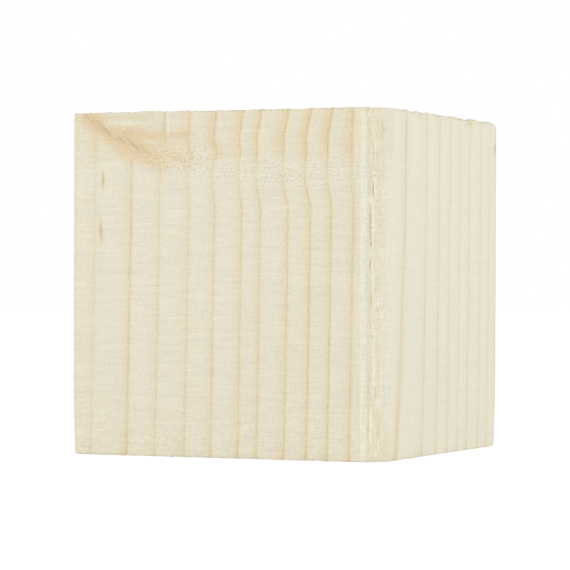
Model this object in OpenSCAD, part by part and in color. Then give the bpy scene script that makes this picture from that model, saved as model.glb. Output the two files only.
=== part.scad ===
// Wooden cube
// A nearly cubic block, crosscut from a planed softwood post, all one piece.
// The grain runs up Z between two saw-cut ends. The four long arrises are
// eased. The front right one is rounder than the others, and there the planer
// knives lifted the grain and tore flakes out of it.
// The front face looks along -Y, and the origin is the middle of the bottom.
// All sizes are in millimetres.

/* [Block] */
// Width of the block, from the left side to the right
block_width = 87.5; // [70:0.5:110]
// Depth of the block, from the front to the back
block_depth = 87.5; // [70:0.5:110]
// Height of the block along the grain, from saw cut to saw cut
block_height = 89; // [70:0.5:110]

/* [Arrises] */
// Radius of the three cleanly eased long arrises
eased_radius = 3; // [1:0.25:6]
// Radius of the torn long arris at the front right
torn_radius = 6; // [4:0.25:9]
// How far the outer corners are worn back along their diagonal
corner_wear = 0.35; // [0.1:0.05:2]

/* [Torn arris] */
// Number of flakes torn out along the arris
flake_count = 44; // [8:1:60]
// Length of the longest flake, along the grain
flake_length = 15; // [6:0.5:24]
// Width of the widest flake
flake_width = 1.8; // [0.8:0.1:3]
// Depth of the deepest flake
flake_depth = 0.55; // [0.2:0.05:1]
// Where the tear begins, in degrees round the arris from the front face
tear_from = 12; // [0:1:40]
// Where the tear ends, in degrees round the arris from the front face
tear_to = 60; // [45:1:85]
// Seed for the scatter of the flakes
flake_seed = 7; // [1:1:99]

/* [Split] */
// Length of the split that opens along the torn arris
split_length = 18; // [6:0.5:40]
// Width of the split at the surface
split_width = 0.5; // [0.2:0.05:1]
// Depth of the split at its middle
split_depth = 0.9; // [0.3:0.05:1.5]
// Distance from the top end down to the middle of the split
split_drop = 27; // [22:0.5:45]
// Where the split runs, in degrees round the arris from the front face
split_angle = 30; // [5:1:80]

/* [Saw nicks] */
// Height of the taller nicks that the saw broke out of the ends' edges
nick_height = 1.4; // [0.5:0.1:3]
// Width of a nick at the edge
nick_width = 1; // [0.4:0.1:2]
// Depth of a nick
nick_depth = 0.35; // [0.1:0.05:0.8]

/* [Knot] */
// Length of the seam where the spike knot meets the front face
seam_length = 21; // [8:0.5:28]
// Width of the seam at the surface
seam_width = 0.4; // [0.2:0.05:0.8]
// Depth of the seam at its middle
seam_depth = 0.3; // [0.1:0.05:0.6]
// How steeply the seam falls from left to right, in degrees
seam_slope = 30; // [15:1:45]
// Distance from the left side to the middle of the seam
seam_in = 13; // [11:0.5:20]
// Distance from the top end down to the middle of the seam
seam_drop = 6.5; // [6:0.5:14]
// Number of flecks torn out where the grain dives under the knot
fleck_count = 12; // [4:1:24]
// Length of the longest fleck
fleck_length = 3; // [1:0.1:5]
// Width of the widest fleck
fleck_width = 0.5; // [0.2:0.05:1]
// Depth of the deepest fleck
fleck_depth = 0.25; // [0.1:0.05:0.5]
// Distance from the left side to the middle of the flecked patch
patch_in = 32; // [26:0.5:40]
// Distance from the top end down to the middle of the flecked patch
patch_drop = 13; // [10:0.5:20]
// Length of the flecked patch, across the grain
patch_length = 19; // [10:0.5:24]
// Height of the flecked patch, along the grain
patch_height = 4; // [2:0.5:6]
// Seed for the scatter of the flecks
fleck_seed = 21; // [1:1:99]

/* [Hidden] */

// Distances from the left side to the nicks in the front edges of the ends
bottom_nicks = [32.5, 35, 40.5, 51.5, 78];
top_nicks = [3, 19, 31.5, 47];
// Distances from the back to the nicks in the right edges of both ends
right_nicks = [9, 21, 37, 52, 66];

// The least share of the largest size that a flake or a fleck has
least_share = 0.45;
// A flake leans up to this many degrees to one side
flake_lean = 12;
// Of so many flakes in a row, one breaks off at its lower end
flake_turn = 3;
// A fleck tilts up to this many degrees out of level
fleck_tilt = 25;
// How far a flake's cutter stands out of the surface
cutter_overrun = 2;

arris_facets = 96;
hoop_facets = 180;
sphere_facets = 180;

// Random numbers between 0 and 1, five for each flake and each fleck
flake_rolls = rands(0, 1, 5 * flake_count, flake_seed);
fleck_rolls = rands(0, 1, 5 * fleck_count, fleck_seed);

// A value between low and high, at a share of the way
function between(low, high, share) = low + (high - low) * share;

// Some part of the largest size, from the least share up to the whole of it
function some_of(largest, roll) = largest * between(least_share, 1, roll);

// How far it is from the middle of the block to an outer corner of an end
function corner_reach(radius) =
  let (inset = radius * (1 - sqrt(0.5)))
    norm([block_width / 2 - inset, block_depth / 2 - inset, block_height / 2]);

// What the planer takes off a square corner to round it, for a corner at the
// origin with its sides towards -X and +Y
module corner_waste(radius) {
  difference() {
    translate([-radius, -1]) square(radius + 1);
    translate([-radius, radius]) circle(radius, $fn = arris_facets);
  }
}

// The post's cross-section
module post_section() {
  right = block_width / 2;
  back = block_depth / 2;
  difference() {
    square([block_width, block_depth], center = true);
    translate([right, -back]) corner_waste(torn_radius);
    translate([right, back]) rotate(90) corner_waste(eased_radius);
    translate([-right, back]) rotate(180) corner_waste(eased_radius);
    translate([-right, -back]) rotate(270) corner_waste(eased_radius);
  }
}

// The post crosscut to length, with its outer corners worn round
module crosscut_block() {
  intersection() {
    linear_extrude(block_height) post_section();
    translate([0, 0, block_height / 2])
      sphere(corner_reach(eased_radius) - corner_wear, $fn = sphere_facets);
  }
}

// A cutter for a V-shaped cut, pointed at both ends, along Z at the origin in
// a surface that faces -Y. It is a hoop with a V rim, and only the rim bites.
module gouge(length, width, depth) {
  reach = (length * length / 4 + depth * depth) / (2 * depth);
  translate([0, depth - reach, 0])
    rotate([0, 90, 0])
      rotate_extrude($fn = hoop_facets)
        polygon([
          [reach - 2 * depth, -width],
          [reach, 0],
          [reach - 2 * depth, width]
        ]);
}

// A cutter for one flake, up Z from the origin in a surface that faces -Y. The
// cut deepens up the grain from nothing to a sharp break, and leans sideways.
module flake(length, width, depth, lean = 0) {
  rotate([0, 0, lean])
    rotate([90, 0, 90])
      linear_extrude(width, center = true)
        polygon([
          [0, 0],
          [depth, length],
          [-cutter_overrun, length],
          [-cutter_overrun, 0]
        ]);
}

// Places a cutter on the torn arris, so many degrees round from the front face
module on_torn_arris(angle, up) {
  translate([block_width / 2 - torn_radius, torn_radius - block_depth / 2, up])
    rotate([0, 0, angle])
      translate([0, -torn_radius, 0])
        children();
}

// Places a cutter on the front face, so far in from the left side
module on_front(in, up) {
  translate([in - block_width / 2, -block_depth / 2, up])
    children();
}

// Places a cutter on the right face, so far in from the back
module on_right(in, up) {
  translate([block_width / 2, block_depth / 2 - in, up])
    rotate([0, 0, 90])
      children();
}

// The flakes that the knives tore out, scattered up the whole arris
module torn_grain() {
  for (i = [0 : flake_count - 1]) {
    roll = [for (k = [0 : 4]) flake_rolls[5 * i + k]];
    angle = between(tear_from, tear_to, roll[0]);
    up = block_height * (i + roll[1]) / flake_count;
    on_torn_arris(angle, up)
      mirror([0, 0, i % flake_turn == 0 ? 1 : 0])
        flake(
          some_of(flake_length, roll[2]),
          some_of(flake_width, roll[3]),
          some_of(flake_depth, roll[4]),
          flake_lean * (2 * roll[3] - 1)
        );
  }
}

// The split that follows the grain up the torn arris
module split() {
  on_torn_arris(split_angle, block_height - split_drop)
    gouge(split_length, split_width, split_depth);
}

// Nicks in the edges of both ends, where fibres broke away from the saw. A
// nick's cut is centred on the edge, so half of its length shows.
module saw_nicks() {
  for (in = bottom_nicks)
    on_front(in, 0) gouge(2 * nick_height, nick_width, nick_depth);
  for (in = top_nicks)
    on_front(in, block_height) gouge(nick_height, nick_width, nick_depth);
  for (in = right_nicks) {
    on_right(in, 0) gouge(nick_height, nick_width, nick_depth);
    on_right(in, block_height) gouge(2 * nick_height, nick_width, nick_depth);
  }
}

// The seam of the spike knot, falling to the right across the front face
module knot_seam() {
  on_front(seam_in, block_height - seam_drop)
    rotate([0, 90 + seam_slope, 0])
      gouge(seam_length, seam_width, seam_depth);
}

// Short flecks torn across the grain in a patch below the knot
module knot_flecks() {
  for (i = [0 : fleck_count - 1]) {
    roll = [for (k = [0 : 4]) fleck_rolls[5 * i + k]];
    in = patch_in + patch_length * ((i + roll[0]) / fleck_count - 0.5);
    up = block_height - patch_drop + patch_height * (roll[1] - 0.5);
    on_front(in, up)
      rotate([0, 90 + fleck_tilt * (2 * roll[2] - 1), 0])
        flake(
          some_of(fleck_length, roll[3]),
          some_of(fleck_width, roll[4]),
          some_of(fleck_depth, roll[4])
        );
  }
}

module wooden_cube() {
  color("blanchedalmond")
    difference() {
      crosscut_block();
      torn_grain();
      split();
      saw_nicks();
      knot_seam();
      knot_flecks();
    }
}

wooden_cube();
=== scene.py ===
"""Dresses the wooden cube: a block of planed softwood with a spike knot and one torn arris.

Lengths are in metres where they reach Blender and in millimetres (mm) in the classes that describe
the wood, because a growth ring, a planer mark and a torn flake are all a few millimetres or less.
Colours are written as red, green and blue screen values from 0 to 255.
"""

import logging
import math
from dataclasses import dataclass, fields
from enum import Enum
from typing import Any, Mapping, Optional, Sequence, Union

import bpy
from mathutils import Matrix, Vector


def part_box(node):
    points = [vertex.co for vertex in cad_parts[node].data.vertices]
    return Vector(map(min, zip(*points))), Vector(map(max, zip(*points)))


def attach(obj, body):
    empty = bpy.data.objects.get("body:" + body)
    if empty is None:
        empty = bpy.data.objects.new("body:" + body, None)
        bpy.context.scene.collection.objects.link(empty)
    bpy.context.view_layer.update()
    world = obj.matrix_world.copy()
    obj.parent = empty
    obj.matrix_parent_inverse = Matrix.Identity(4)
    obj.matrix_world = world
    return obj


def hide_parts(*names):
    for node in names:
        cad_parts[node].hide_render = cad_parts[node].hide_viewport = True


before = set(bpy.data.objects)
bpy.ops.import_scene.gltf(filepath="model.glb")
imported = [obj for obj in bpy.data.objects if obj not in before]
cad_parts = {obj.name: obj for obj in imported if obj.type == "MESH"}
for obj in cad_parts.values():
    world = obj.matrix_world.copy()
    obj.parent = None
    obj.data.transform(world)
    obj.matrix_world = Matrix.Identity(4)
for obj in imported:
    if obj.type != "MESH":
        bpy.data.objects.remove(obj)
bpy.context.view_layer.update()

LOG = logging.getLogger("wooden_cube")

NODE = "wooden_cube"
BODY = "root"
MM = 0.001
WHITE = (1.0, 1.0, 1.0, 1.0)

Rgb = tuple[float, float, float]
Span = tuple[float, float]  # where a change starts, and where it ends
Hump = tuple[float, float]  # where a soft hump stands, and how wide it is


def linear(colour: Rgb) -> tuple[float, float, float, float]:
    """Turns a colour in screen values into the linear one that nodes take, with an alpha of 1."""
    def one(value: float) -> float:
        """Turns one channel."""
        share = value / 255.0
        return share / 12.92 if share <= 0.04045 else ((share + 0.055) / 1.055) ** 2.4

    red, green, blue = (one(value) for value in colour)
    return red, green, blue, 1.0


class Field:
    """A number that flows out of a node's socket, with the arithmetic of plain numbers."""

    def __init__(self, graph: "Graph", socket: bpy.types.NodeSocket) -> None:
        """Wraps a socket of a graph."""
        self.graph = graph
        self.socket = socket

    def __add__(self, other: "Value") -> "Field":
        """Adds."""
        return self.graph.math("ADD", self, other)

    def __radd__(self, other: "Value") -> "Field":
        """Adds to a plain number."""
        return self.graph.math("ADD", other, self)

    def __sub__(self, other: "Value") -> "Field":
        """Subtracts."""
        return self.graph.math("SUBTRACT", self, other)

    def __rsub__(self, other: "Value") -> "Field":
        """Subtracts from a plain number."""
        return self.graph.math("SUBTRACT", other, self)

    def __mul__(self, other: "Value") -> "Field":
        """Multiplies."""
        return self.graph.math("MULTIPLY", self, other)

    def __rmul__(self, other: "Value") -> "Field":
        """Multiplies a plain number."""
        return self.graph.math("MULTIPLY", other, self)

    def __truediv__(self, other: "Value") -> "Field":
        """Divides."""
        return self.graph.math("DIVIDE", self, other)

    def __rtruediv__(self, other: "Value") -> "Field":
        """Divides a plain number."""
        return self.graph.math("DIVIDE", other, self)

    def __neg__(self) -> "Field":
        """Turns the sign."""
        return self.graph.math("MULTIPLY", self, -1.0)

    def __abs__(self) -> "Field":
        """Drops the sign."""
        return self.graph.math("ABSOLUTE", self)


Value = Union[Field, float]


@dataclass(frozen=True)
class Place:
    """Where a point of the wood lies, in mm: x to the right, y to the back and z up."""

    x: Field
    y: Field
    z: Field


@dataclass(frozen=True)
class Grain:
    """Cloudy noise, by the size of its lumps along x, y and z, in mm.

    The seed shifts it, so that two of them differ. The detail says how many finer layers it has and
    the roughness how strong they are. Mostly it stays within its strength of 0.
    """

    size: tuple[float, float, float]
    seed: float
    detail: float = 2.0
    roughness: float = 0.5
    strength: float = 1.0


class Graph:
    """A node tree that is written as expressions on fields."""

    def __init__(self, tree: bpy.types.NodeTree) -> None:
        """Wraps a node tree."""
        self.tree = tree

    def add(
        self,
        kind: str,
        settings: Optional[Mapping[str, Any]] = None,
        inputs: Optional[Mapping[Any, Any]] = None,
    ) -> bpy.types.Node:
        """Adds a node.

        Args:
            kind: The node's type, as Blender names it.
            settings: The node's own options, set first. A curve takes "points", each how far along
                it lies and how high.
            inputs: What goes into its sockets, by the socket's name, identifier or number: a
                field, a socket or a plain value.

        Returns:
            The node.
        """
        node = self.tree.nodes.new(kind)
        for name, value in (settings or {}).items():
            if name == "points":
                self._set_points(node.mapping, value)
            else:
                setattr(node, name, value)
        for key, value in (inputs or {}).items():
            self._feed(self._socket(node.inputs, key), value)
        return node

    @staticmethod
    def _set_points(mapping: bpy.types.CurveMapping, points: Sequence[tuple[float, float]]) -> None:
        """Gives a curve straight runs between its points."""
        curve = mapping.curves[0]
        while len(curve.points) < len(points):
            curve.points.new(0.5, 0.5)
        for point, place in zip(curve.points, points):
            point.location = place
        for point in curve.points:
            point.handle_type = "VECTOR"
        mapping.update()

    @staticmethod
    def _socket(sockets: Any, key: Any) -> bpy.types.NodeSocket:
        """Finds a socket by its number, its identifier or its name."""
        if isinstance(key, int):
            return sockets[key]
        named = [socket for socket in sockets if socket.identifier == key]
        return named[0] if named else sockets[key]

    def _feed(self, socket: bpy.types.NodeSocket, value: Any) -> None:
        """Links a field or a socket to a socket, or sets its plain value."""
        if isinstance(value, Field):
            value = value.socket
        if isinstance(value, bpy.types.NodeSocket):
            self.tree.links.new(value, socket)
        else:
            socket.default_value = value

    def out(self, node: bpy.types.Node, key: Any = 0) -> Field:
        """The field that flows out of one of a node's sockets."""
        return Field(self, self._socket(node.outputs, key))

    def math(self, operation: str, first: Value, second: Value = 0.0, clamp: bool = False) -> Field:
        """One Math node.

        Args:
            operation: The operation, as Blender names it.
            first: The first value.
            second: The second value, where the operation takes one.
            clamp: Whether the result is held between 0 and 1.

        Returns:
            The result.
        """
        settings = {"operation": operation, "use_clamp": clamp}
        return self.out(self.add("ShaderNodeMath", settings, {0: first, 1: second}))

    def ramp_up(self, value: Value, low: float, high: float, smooth: bool = True) -> Field:
        """Goes from 0 at one value to 1 at another, and stays there.

        Args:
            value: What is followed.
            low: Where the result is 0.
            high: Where the result is 1. It may lie under the low one, for a fall.
            smooth: Whether the change starts and ends gently.

        Returns:
            A field from 0 to 1.
        """
        kind = "SMOOTHSTEP" if smooth else "LINEAR"
        inputs = {"Value": value, "From Min": low, "From Max": high, "To Min": 0.0, "To Max": 1.0}
        return self.out(self.add("ShaderNodeMapRange", {"interpolation_type": kind}, inputs))

    def bell(self, value: Field, centre: float, width: float) -> Field:
        """A soft hump that is 1 at its centre and a third one width away.

        Args:
            value: What is followed.
            centre: Where the hump stands.
            width: How far it is from the centre to where the hump has fallen to a third.

        Returns:
            A field from 0 to 1.
        """
        away = (value - centre) / width
        return self.math("EXPONENT", -(away * away))

    def clamp(self, value: Field) -> Field:
        """Holds a value between 0 and 1."""
        return self.math("ADD", value, 0.0, clamp=True)

    def curve(self, value: Field, points: Sequence[tuple[float, float]]) -> Field:
        """Reads a value off straight runs between points that lie from 0 to 1 both ways."""
        return self.out(self.add("ShaderNodeFloatCurve", {"points": points}, {"Value": value}))

    def vector(self, x: Value, y: Value, z: Value) -> Field:
        """Joins three numbers to a vector."""
        return self.out(self.add("ShaderNodeCombineXYZ", inputs={0: x, 1: y, 2: z}))

    def parts(self, vector: Field) -> Place:
        """Takes a vector apart."""
        node = self.add("ShaderNodeSeparateXYZ", inputs={0: vector})
        return Place(self.out(node, 0), self.out(node, 1), self.out(node, 2))

    def vectors(self, operation: str, first: Field, second: Field) -> Field:
        """One Vector Math node that gives a vector."""
        settings = {"operation": operation}
        return self.out(self.add("ShaderNodeVectorMath", settings, {0: first, 1: second}))

    def scaled(self, vector: Field, scale: Value) -> Field:
        """A vector times a number."""
        inputs = {0: vector, "Scale": scale}
        return self.out(self.add("ShaderNodeVectorMath", {"operation": "SCALE"}, inputs))

    def in_mm(self, vector: Field) -> Place:
        """Takes a vector in metres apart, into mm."""
        return self.parts(self.scaled(vector, 1.0 / MM))

    def noise(self, place: Place, grain: Grain) -> Field:
        """Cloudy noise around 0.

        Args:
            place: Where the noise is read.
            grain: The size of its lumps, and how strong they are.

        Returns:
            A field, mostly within the grain's strength of 0.
        """
        wide, deep, high = grain.size
        spot = self.vector(place.x / wide + grain.seed, place.y / deep, place.z / high)
        inputs = {"Vector": spot, "Scale": 1.0, "Detail": grain.detail, "Roughness": grain.roughness}
        node = self.add("ShaderNodeTexNoise", {"noise_dimensions": "3D"}, inputs)
        return (self.out(node, "Fac") - 0.5) * (4.0 * grain.strength)

    def cells(self, across: Value, along: Value, seed: float = 0.0) -> tuple[Field, Field, Field]:
        """Splits a surface into uneven cells.

        Args:
            across: The first coordinate, in cells.
            along: The second coordinate, in cells.
            seed: Shifts the cells, so that two layers of them differ.

        Returns:
            A random number for each cell, how far it is to the cell's edge, and how far along the
            cell a point lies, mostly from -0.5 to 0.5.
        """
        inputs = {"Vector": self.vector(across, along, seed), "Scale": 1.0}
        near = self.add("ShaderNodeTexVoronoi", {"feature": "F1"}, inputs)
        edge = self.add("ShaderNodeTexVoronoi", {"feature": "DISTANCE_TO_EDGE"}, inputs)
        chance, centre = (self.parts(self.out(near, name)) for name in ("Color", "Position"))
        return chance.x, self.out(edge, "Distance"), along - centre.y


class Blend(Enum):
    """How one colour goes with another, as Blender names it."""

    OVER = "MIX"
    TIMES = "MULTIPLY"


class ShaderGraph(Graph):
    """A material's or a world's node tree."""

    def __init__(self, owner: Union[bpy.types.Material, bpy.types.World]) -> None:
        """Empties the owner's node tree and wraps it."""
        owner.use_nodes = True
        owner.node_tree.nodes.clear()
        super().__init__(owner.node_tree)

    def mix(self, share: Value, under: Any, over: Any, blend: Blend = Blend.OVER) -> Field:
        """Lays one colour over another.

        Args:
            share: How much of the upper colour shows. The node holds it between 0 and 1.
            under: The lower colour.
            over: The upper colour.
            blend: How they blend.

        Returns:
            The colour.
        """
        settings = {"data_type": "RGBA", "blend_type": blend.value}
        inputs = {"Factor_Float": share, "A_Color": under, "B_Color": over}
        return self.out(self.add("ShaderNodeMix", settings, inputs), "Result_Color")

    def paint(self, share: Value, under: Any, colour: Rgb) -> Field:
        """Lays a colour in screen values over another one."""
        return self.mix(share, under, linear(colour))

    def shade(self, colour: Field, red: Value, green: Value, blue: Value) -> Field:
        """Multiplies a colour's red, green and blue."""
        return self.mix(1.0, colour, self.vector(red, green, blue), Blend.TIMES)

    def place(self) -> Place:
        """The point of the wood, from Object coordinates."""
        return self.in_mm(self.out(self.add("ShaderNodeTexCoord"), "Object"))

    def facing(self) -> Place:
        """The way that the surface faces, as three numbers from -1 to 1."""
        return self.parts(self.out(self.add("ShaderNodeTexCoord"), "Normal"))

    def attribute(self, name: str) -> Field:
        """A number that the mesh holds for each point."""
        return self.out(self.add("ShaderNodeAttribute", {"attribute_name": name}), "Fac")

    def seen(self) -> Field:
        """1 for a ray from the camera, a reflection or a clear surface, 0 for one that gathers light."""
        path = self.add("ShaderNodeLightPath")
        direct = self.math("MAXIMUM", self.out(path, "Is Camera Ray"), self.out(path, "Is Glossy Ray"))
        return self.math("MAXIMUM", direct, self.out(path, "Is Transmission Ray"))


class GeometryGraph(Graph):
    """A geometry node tree with named inputs, run once on an object."""

    def __init__(self, name: str) -> None:
        """Makes an empty tree that takes and gives geometry."""
        super().__init__(bpy.data.node_groups.new(name, "GeometryNodeTree"))
        self.values: dict[str, Any] = {}
        self.entry = self.add("NodeGroupInput")
        self.geometry = self.input("Geometry", "NodeSocketGeometry", None)
        self.tree.interface.new_socket("Geometry", in_out="OUTPUT", socket_type="NodeSocketGeometry")

    def input(self, name: str, kind: str, value: Any) -> Field:
        """Adds a named input.

        Args:
            name: The input's name.
            kind: The socket's type, as Blender names it.
            value: What the modifier gives it, or None for the geometry that comes in.

        Returns:
            The input, as a field.
        """
        item = self.tree.interface.new_socket(name, in_out="INPUT", socket_type=kind)
        if value is not None:
            self.values[item.identifier] = value
        return self.out(self.entry, item.identifier)

    def length(self, name: str, value: float) -> Field:
        """Adds a named input for a length in mm."""
        return self.input(name, "NodeSocketFloat", value)

    def place(self) -> Place:
        """The point of the mesh, in mm."""
        return self.in_mm(self.out(self.add("GeometryNodeInputPosition")))

    def store(self, geometry: Field, name: str, value: Field) -> Field:
        """Keeps a number for each point of the mesh, for the finish to read."""
        settings = {"data_type": "FLOAT", "domain": "POINT"}
        inputs = {"Geometry": geometry, "Name": name, "Value": value}
        return self.out(self.add("GeometryNodeStoreNamedAttribute", settings, inputs))

    def run(
        self, blank: bpy.types.Object, geometry: Field, material: bpy.types.Material
    ) -> bpy.types.Mesh:
        """Ends the tree, runs it on an object and gives back the plain mesh.

        Args:
            blank: The object that the tree works on, which is used up.
            geometry: What the tree has made.
            material: The finish of every face.

        Returns:
            A new mesh with no instances in it.
        """
        finish = self.input("Finish", "NodeSocketMaterial", material)
        real = self.out(self.add("GeometryNodeRealizeInstances", inputs={"Geometry": geometry}))
        dressed = self.add("GeometryNodeSetMaterial", inputs={"Geometry": real, "Material": finish})
        self.add("NodeGroupOutput", inputs={0: self.out(dressed)})
        modifier = blank.modifiers.new(self.tree.name, "NODES")
        modifier.node_group = self.tree
        for identifier, value in self.values.items():
            modifier[identifier] = value
        depsgraph = bpy.context.evaluated_depsgraph_get()
        mesh = bpy.data.meshes.new_from_object(blank.evaluated_get(depsgraph), depsgraph=depsgraph)
        blank.modifiers.remove(modifier)
        bpy.data.objects.remove(blank)
        return mesh


class TreeKind(Enum):
    """The kinds of node tree that strokes are drawn in, as Blender names them."""

    SHADER = "ShaderNodeTree"
    GEOMETRY = "GeometryNodeTree"

    @property
    def group_node(self) -> str:
        """The type of node that holds a group in such a tree."""
        return self.value.replace("Tree", "Group")


class StrokeGroup(Graph):
    """A node group that adds one soft stroke to a running total."""

    SOCKETS = {
        "Spot": "Vector", "Middle": "Vector", "Turn": "Float",
        "Tightness": "Vector", "Strength": "Float", "Total": "Float",
    }

    def __init__(self, kind: TreeKind) -> None:
        """Builds the group for one kind of tree."""
        super().__init__(bpy.data.node_groups.new(self.title(kind), kind.value))
        for name, value in self.SOCKETS.items():
            self.tree.interface.new_socket(name, in_out="INPUT", socket_type="NodeSocket" + value)
        self.tree.interface.new_socket("Total", in_out="OUTPUT", socket_type="NodeSocketFloat")
        given = self.add("NodeGroupInput")
        spot, middle, turn, tightness, strength, total = (
            self.out(given, name) for name in self.SOCKETS
        )
        inputs = {"Vector": self.vectors("SUBTRACT", spot, middle), "Angle": turn}
        turned = self.out(self.add("ShaderNodeVectorRotate", {"rotation_type": "Y_AXIS"}, inputs))
        away = self.vectors("MULTIPLY", turned, tightness)
        square = self.add("ShaderNodeVectorMath", {"operation": "DOT_PRODUCT"}, {0: away, 1: away})
        stroke = self.math("EXPONENT", -self.out(square, "Value")) * strength
        self.add("NodeGroupOutput", inputs={0: stroke + total})

    @staticmethod
    def title(kind: TreeKind) -> str:
        """The group's name for one kind of tree."""
        return f"soft_stroke_{kind.value}"

    @classmethod
    def shared(cls, kind: TreeKind) -> bpy.types.NodeTree:
        """The group for one kind of tree, made when it is first asked for."""
        return bpy.data.node_groups.get(cls.title(kind)) or cls(kind).tree


@dataclass(frozen=True)
class Streak:
    """A soft stroke on a surface.

    Its middle lies so many mm along the surface and down from the top end. Its slope is in degrees.
    The reach and the width are where it has faded to a third, along it and across it, in mm.
    """

    along: float
    drop: float
    slope: float
    reach: float
    width: float
    strength: float

    @classmethod
    def rows(cls, *rows: Sequence[float]) -> tuple["Streak", ...]:
        """Makes a few strokes, each from its numbers in the order of the fields above."""
        return tuple(cls(*row) for row in rows)

    def mark(self, graph: Graph, flat: Field, total: Value) -> Field:
        """Adds the stroke to a running total.

        Args:
            graph: The tree to build in.
            flat: The point as a vector, with x along the surface and z down from the top end.
            total: The strokes so far.

        Returns:
            The total, which this stroke raises by its strength at its middle.
        """
        kind = TreeKind(graph.tree.bl_idname)
        inputs = {
            "Spot": flat,
            "Middle": (self.along, 0.0, self.drop),
            "Turn": math.radians(self.slope),
            "Tightness": (1.0 / self.reach, 0.0, 1.0 / self.width),
            "Strength": self.strength,
            "Total": total,
        }
        return graph.out(graph.add(kind.group_node, {"node_tree": StrokeGroup.shared(kind)}, inputs))

    @staticmethod
    def draw(graph: Graph, strokes: Sequence["Streak"], spot: Place) -> Field:
        """Adds up a few strokes."""
        flat = graph.vector(spot.x, 0.0, spot.z)
        total: Value = 0.0
        for stroke in strokes:
            total = stroke.mark(graph, flat, total)
        return total


@dataclass(frozen=True)
class Block:
    """The block's size and edges, in mm, and the smooth blank that its surface is worked from."""

    width: float
    depth: float
    height: float
    eased_radius: float = 3.0
    torn_radius: float = 6.0
    end_round: float = 0.22
    end_turns: tuple[float, ...] = (0.0, 30.0, 60.0)
    foot_height: float = 22.0
    foot_inset: float = 0.38
    shown_step: float = 0.8
    hidden_step: float = 1.8
    eased_step: float = 0.5
    torn_step: float = 0.19
    row_step: float = 0.4
    rim_rows: tuple[float, ...] = (0.35, 0.55, 0.85, 1.25)
    cap_insets: tuple[float, ...] = (0.5, 0.8, 1.3, 2.2, 4.0, 8.0, 14.0, 22.0, 32.0, 41.0)

    @classmethod
    def from_box(cls, low: Vector, high: Vector) -> "Block":
        """Takes the block's size from its box, in metres."""
        size = (Vector(high) - Vector(low)) / MM
        return cls(size.x, size.y, size.z)

    def corner(self, centre_x: float, centre_y: float, radius: float, start: float) -> list[Vector]:
        """The points of one arris, round a quarter turn.

        Args:
            centre_x: The middle of the quarter circle, along x.
            centre_y: The same, along y.
            radius: Its radius.
            start: Where the turn starts, in degrees from the x axis.

        Returns:
            The points, with both tangent points.
        """
        step = self.torn_step if radius == self.torn_radius else self.eased_step
        count = round(math.pi / 2 * radius / step)
        angles = [math.radians(start + 90.0 * number / count) for number in range(count + 1)]
        return [
            Vector((centre_x + radius * math.cos(a), centre_y + radius * math.sin(a))) for a in angles
        ]

    def outline(self) -> list[Vector]:
        """The section's outline, all the way round, from the left end of the front face."""
        right, back = self.width / 2, self.depth / 2
        torn, eased = self.torn_radius, self.eased_radius
        corners = [
            self.corner(right - torn, torn - back, torn, -90.0),
            self.corner(right - eased, back - eased, eased, 0.0),
            self.corner(eased - right, back - eased, eased, 90.0),
            self.corner(eased - right, eased - back, eased, 180.0),
        ]
        steps = (self.shown_step, self.shown_step, self.hidden_step, self.hidden_step)
        points: list[Vector] = []
        for number, corner in enumerate(corners):
            start, end = corners[number - 1][-1], corner[0]
            count = round((end - start).length / steps[number])
            points += [start.lerp(end, share / count) for share in range(1, count)]
            points += corner
        return points

    def rows(self) -> list[tuple[float, float]]:
        """The rows of points up a side: each one's height, and how far it stands in from the side."""
        quarter = [math.radians(angle) for angle in self.end_turns]
        lower = [
            (self.end_round * (1 - math.cos(a)), self.end_round * (1 - math.sin(a))) for a in quarter
        ]
        lower += [(height, 0.0) for height in self.rim_rows]
        low, high = self.rim_rows[-1], self.height - self.rim_rows[-1]
        count = round((high - low) / self.row_step)
        middle = [(low + (high - low) * number / count, 0.0) for number in range(1, count)]
        upper = [(self.height - height, inset) for height, inset in reversed(lower)]
        return [(height, inset + self.foot(height)) for height, inset in lower + middle + upper]

    def foot(self, height: float) -> float:
        """How far the saw ran in towards the foot, at a height."""
        return self.foot_inset * max(0.0, 1.0 - height / self.foot_height) ** 2

    def ring(self, outline: list[Vector], inset: float, height: float) -> list[Vector]:
        """One ring of points: the outline drawn in by a distance, at a height, in metres."""
        across, deep = 1 - 2 * inset / self.width, 1 - 2 * inset / self.depth
        return [Vector((p.x * across, p.y * deep, height)) * MM for p in outline]

    def blank(self) -> bpy.types.Object:
        """Builds the smooth blank, a closed mesh with its faces outwards."""
        outline = self.outline()
        foot = self.end_round + self.foot(0.0)
        below = [self.ring(outline, foot + inset, 0.0) for inset in reversed(self.cap_insets)]
        sides = [self.ring(outline, inset, height) for height, inset in self.rows()]
        above = [self.ring(outline, self.end_round + inset, self.height) for inset in self.cap_insets]
        rings = below + sides + above
        count = len(outline)
        points = [point for ring in rings for point in ring]
        points += [Vector((0.0, 0.0, 0.0)), Vector((0.0, 0.0, self.height * MM))]
        bottom, top = len(points) - 2, len(points) - 1
        last = (len(rings) - 1) * count
        faces: list[tuple[int, ...]] = []
        for row in range(len(rings) - 1):
            for column in range(count):
                here, there = row * count + column, row * count + (column + 1) % count
                faces.append((here, there, there + count, here + count))
        for column in range(count):
            after = (column + 1) % count
            faces.append((bottom, after, column))
            faces.append((top, last + column, last + after))
        mesh = bpy.data.meshes.new("smooth_blank")
        mesh.from_pydata(points, [], faces)
        mesh.polygons.foreach_set("use_smooth", [True] * len(faces))
        blank = bpy.data.objects.new("smooth_blank", mesh)
        bpy.context.scene.collection.objects.link(blank)
        return blank

    def from_left(self, place: Place) -> Place:
        """Measures a point from the left side, from the front face and down from the top end."""
        return Place(place.x + self.width / 2, place.y + self.depth / 2, self.height - place.z)

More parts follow.
